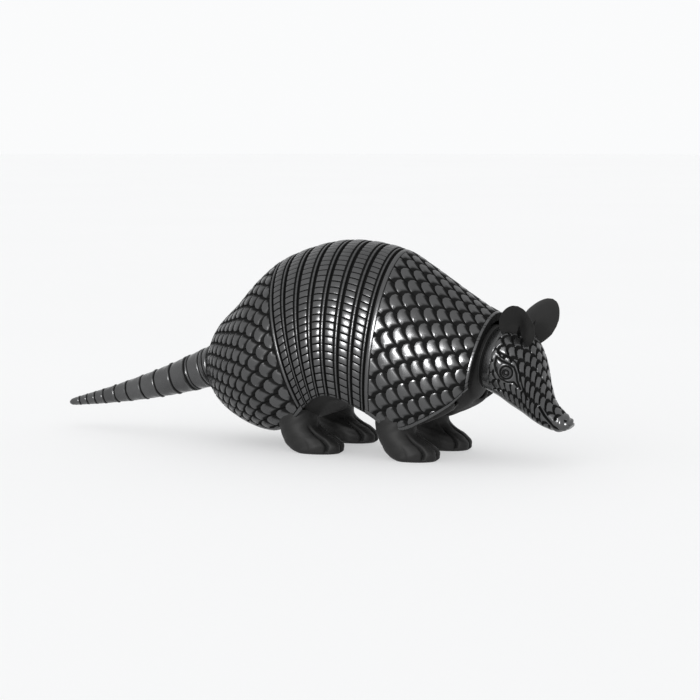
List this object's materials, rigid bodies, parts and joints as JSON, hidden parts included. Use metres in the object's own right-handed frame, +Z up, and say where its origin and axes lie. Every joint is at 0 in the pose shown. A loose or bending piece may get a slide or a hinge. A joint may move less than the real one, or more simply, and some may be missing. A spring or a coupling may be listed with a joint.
{
  "type": "armadillo figurine",
  "caption": "Standing armadillo figurine in burnished black clay: hollow scaled shell with ringed bands, drooping ringed tail, long-snouted head with cupped ears, and mitten feet.",
  "frame": {"origin": "centre of the figurine's footprint box, on the plane the four soles stand on", "axes": "+X towards the nose, +Y to the animal's left, +Z up"},
  "size_m": [0.358, 0.0946, 0.1298],
  "materials": {
    "burnished_clay": "black fired clay, rubbed to a graphite sheen on the raised parts and left dull in the cut grooves",
    "matte_clay": "black fired clay, unpolished, with fine tool scratches"
  },
  "bodies": {
    "root": {"rump_shield": "burnished_clay", "band_1": "burnished_clay", "band_2": "burnished_clay", "band_3": "burnished_clay", "band_4": "burnished_clay", "band_5": "burnished_clay", "band_6": "burnished_clay", "band_7": "burnished_clay", "shoulder_shield": "burnished_clay", "belly": "matte_clay", "tail": "burnished_clay", "head": "burnished_clay", "neck": "burnished_clay", "eye_left": "burnished_clay", "eye_right": "burnished_clay", "ear_left": "matte_clay", "ear_right": "matte_clay", "leg_front_left": "matte_clay", "leg_front_right": "matte_clay", "leg_rear_left": "matte_clay", "leg_rear_right": "matte_clay"}
  },
  "joints": []
}
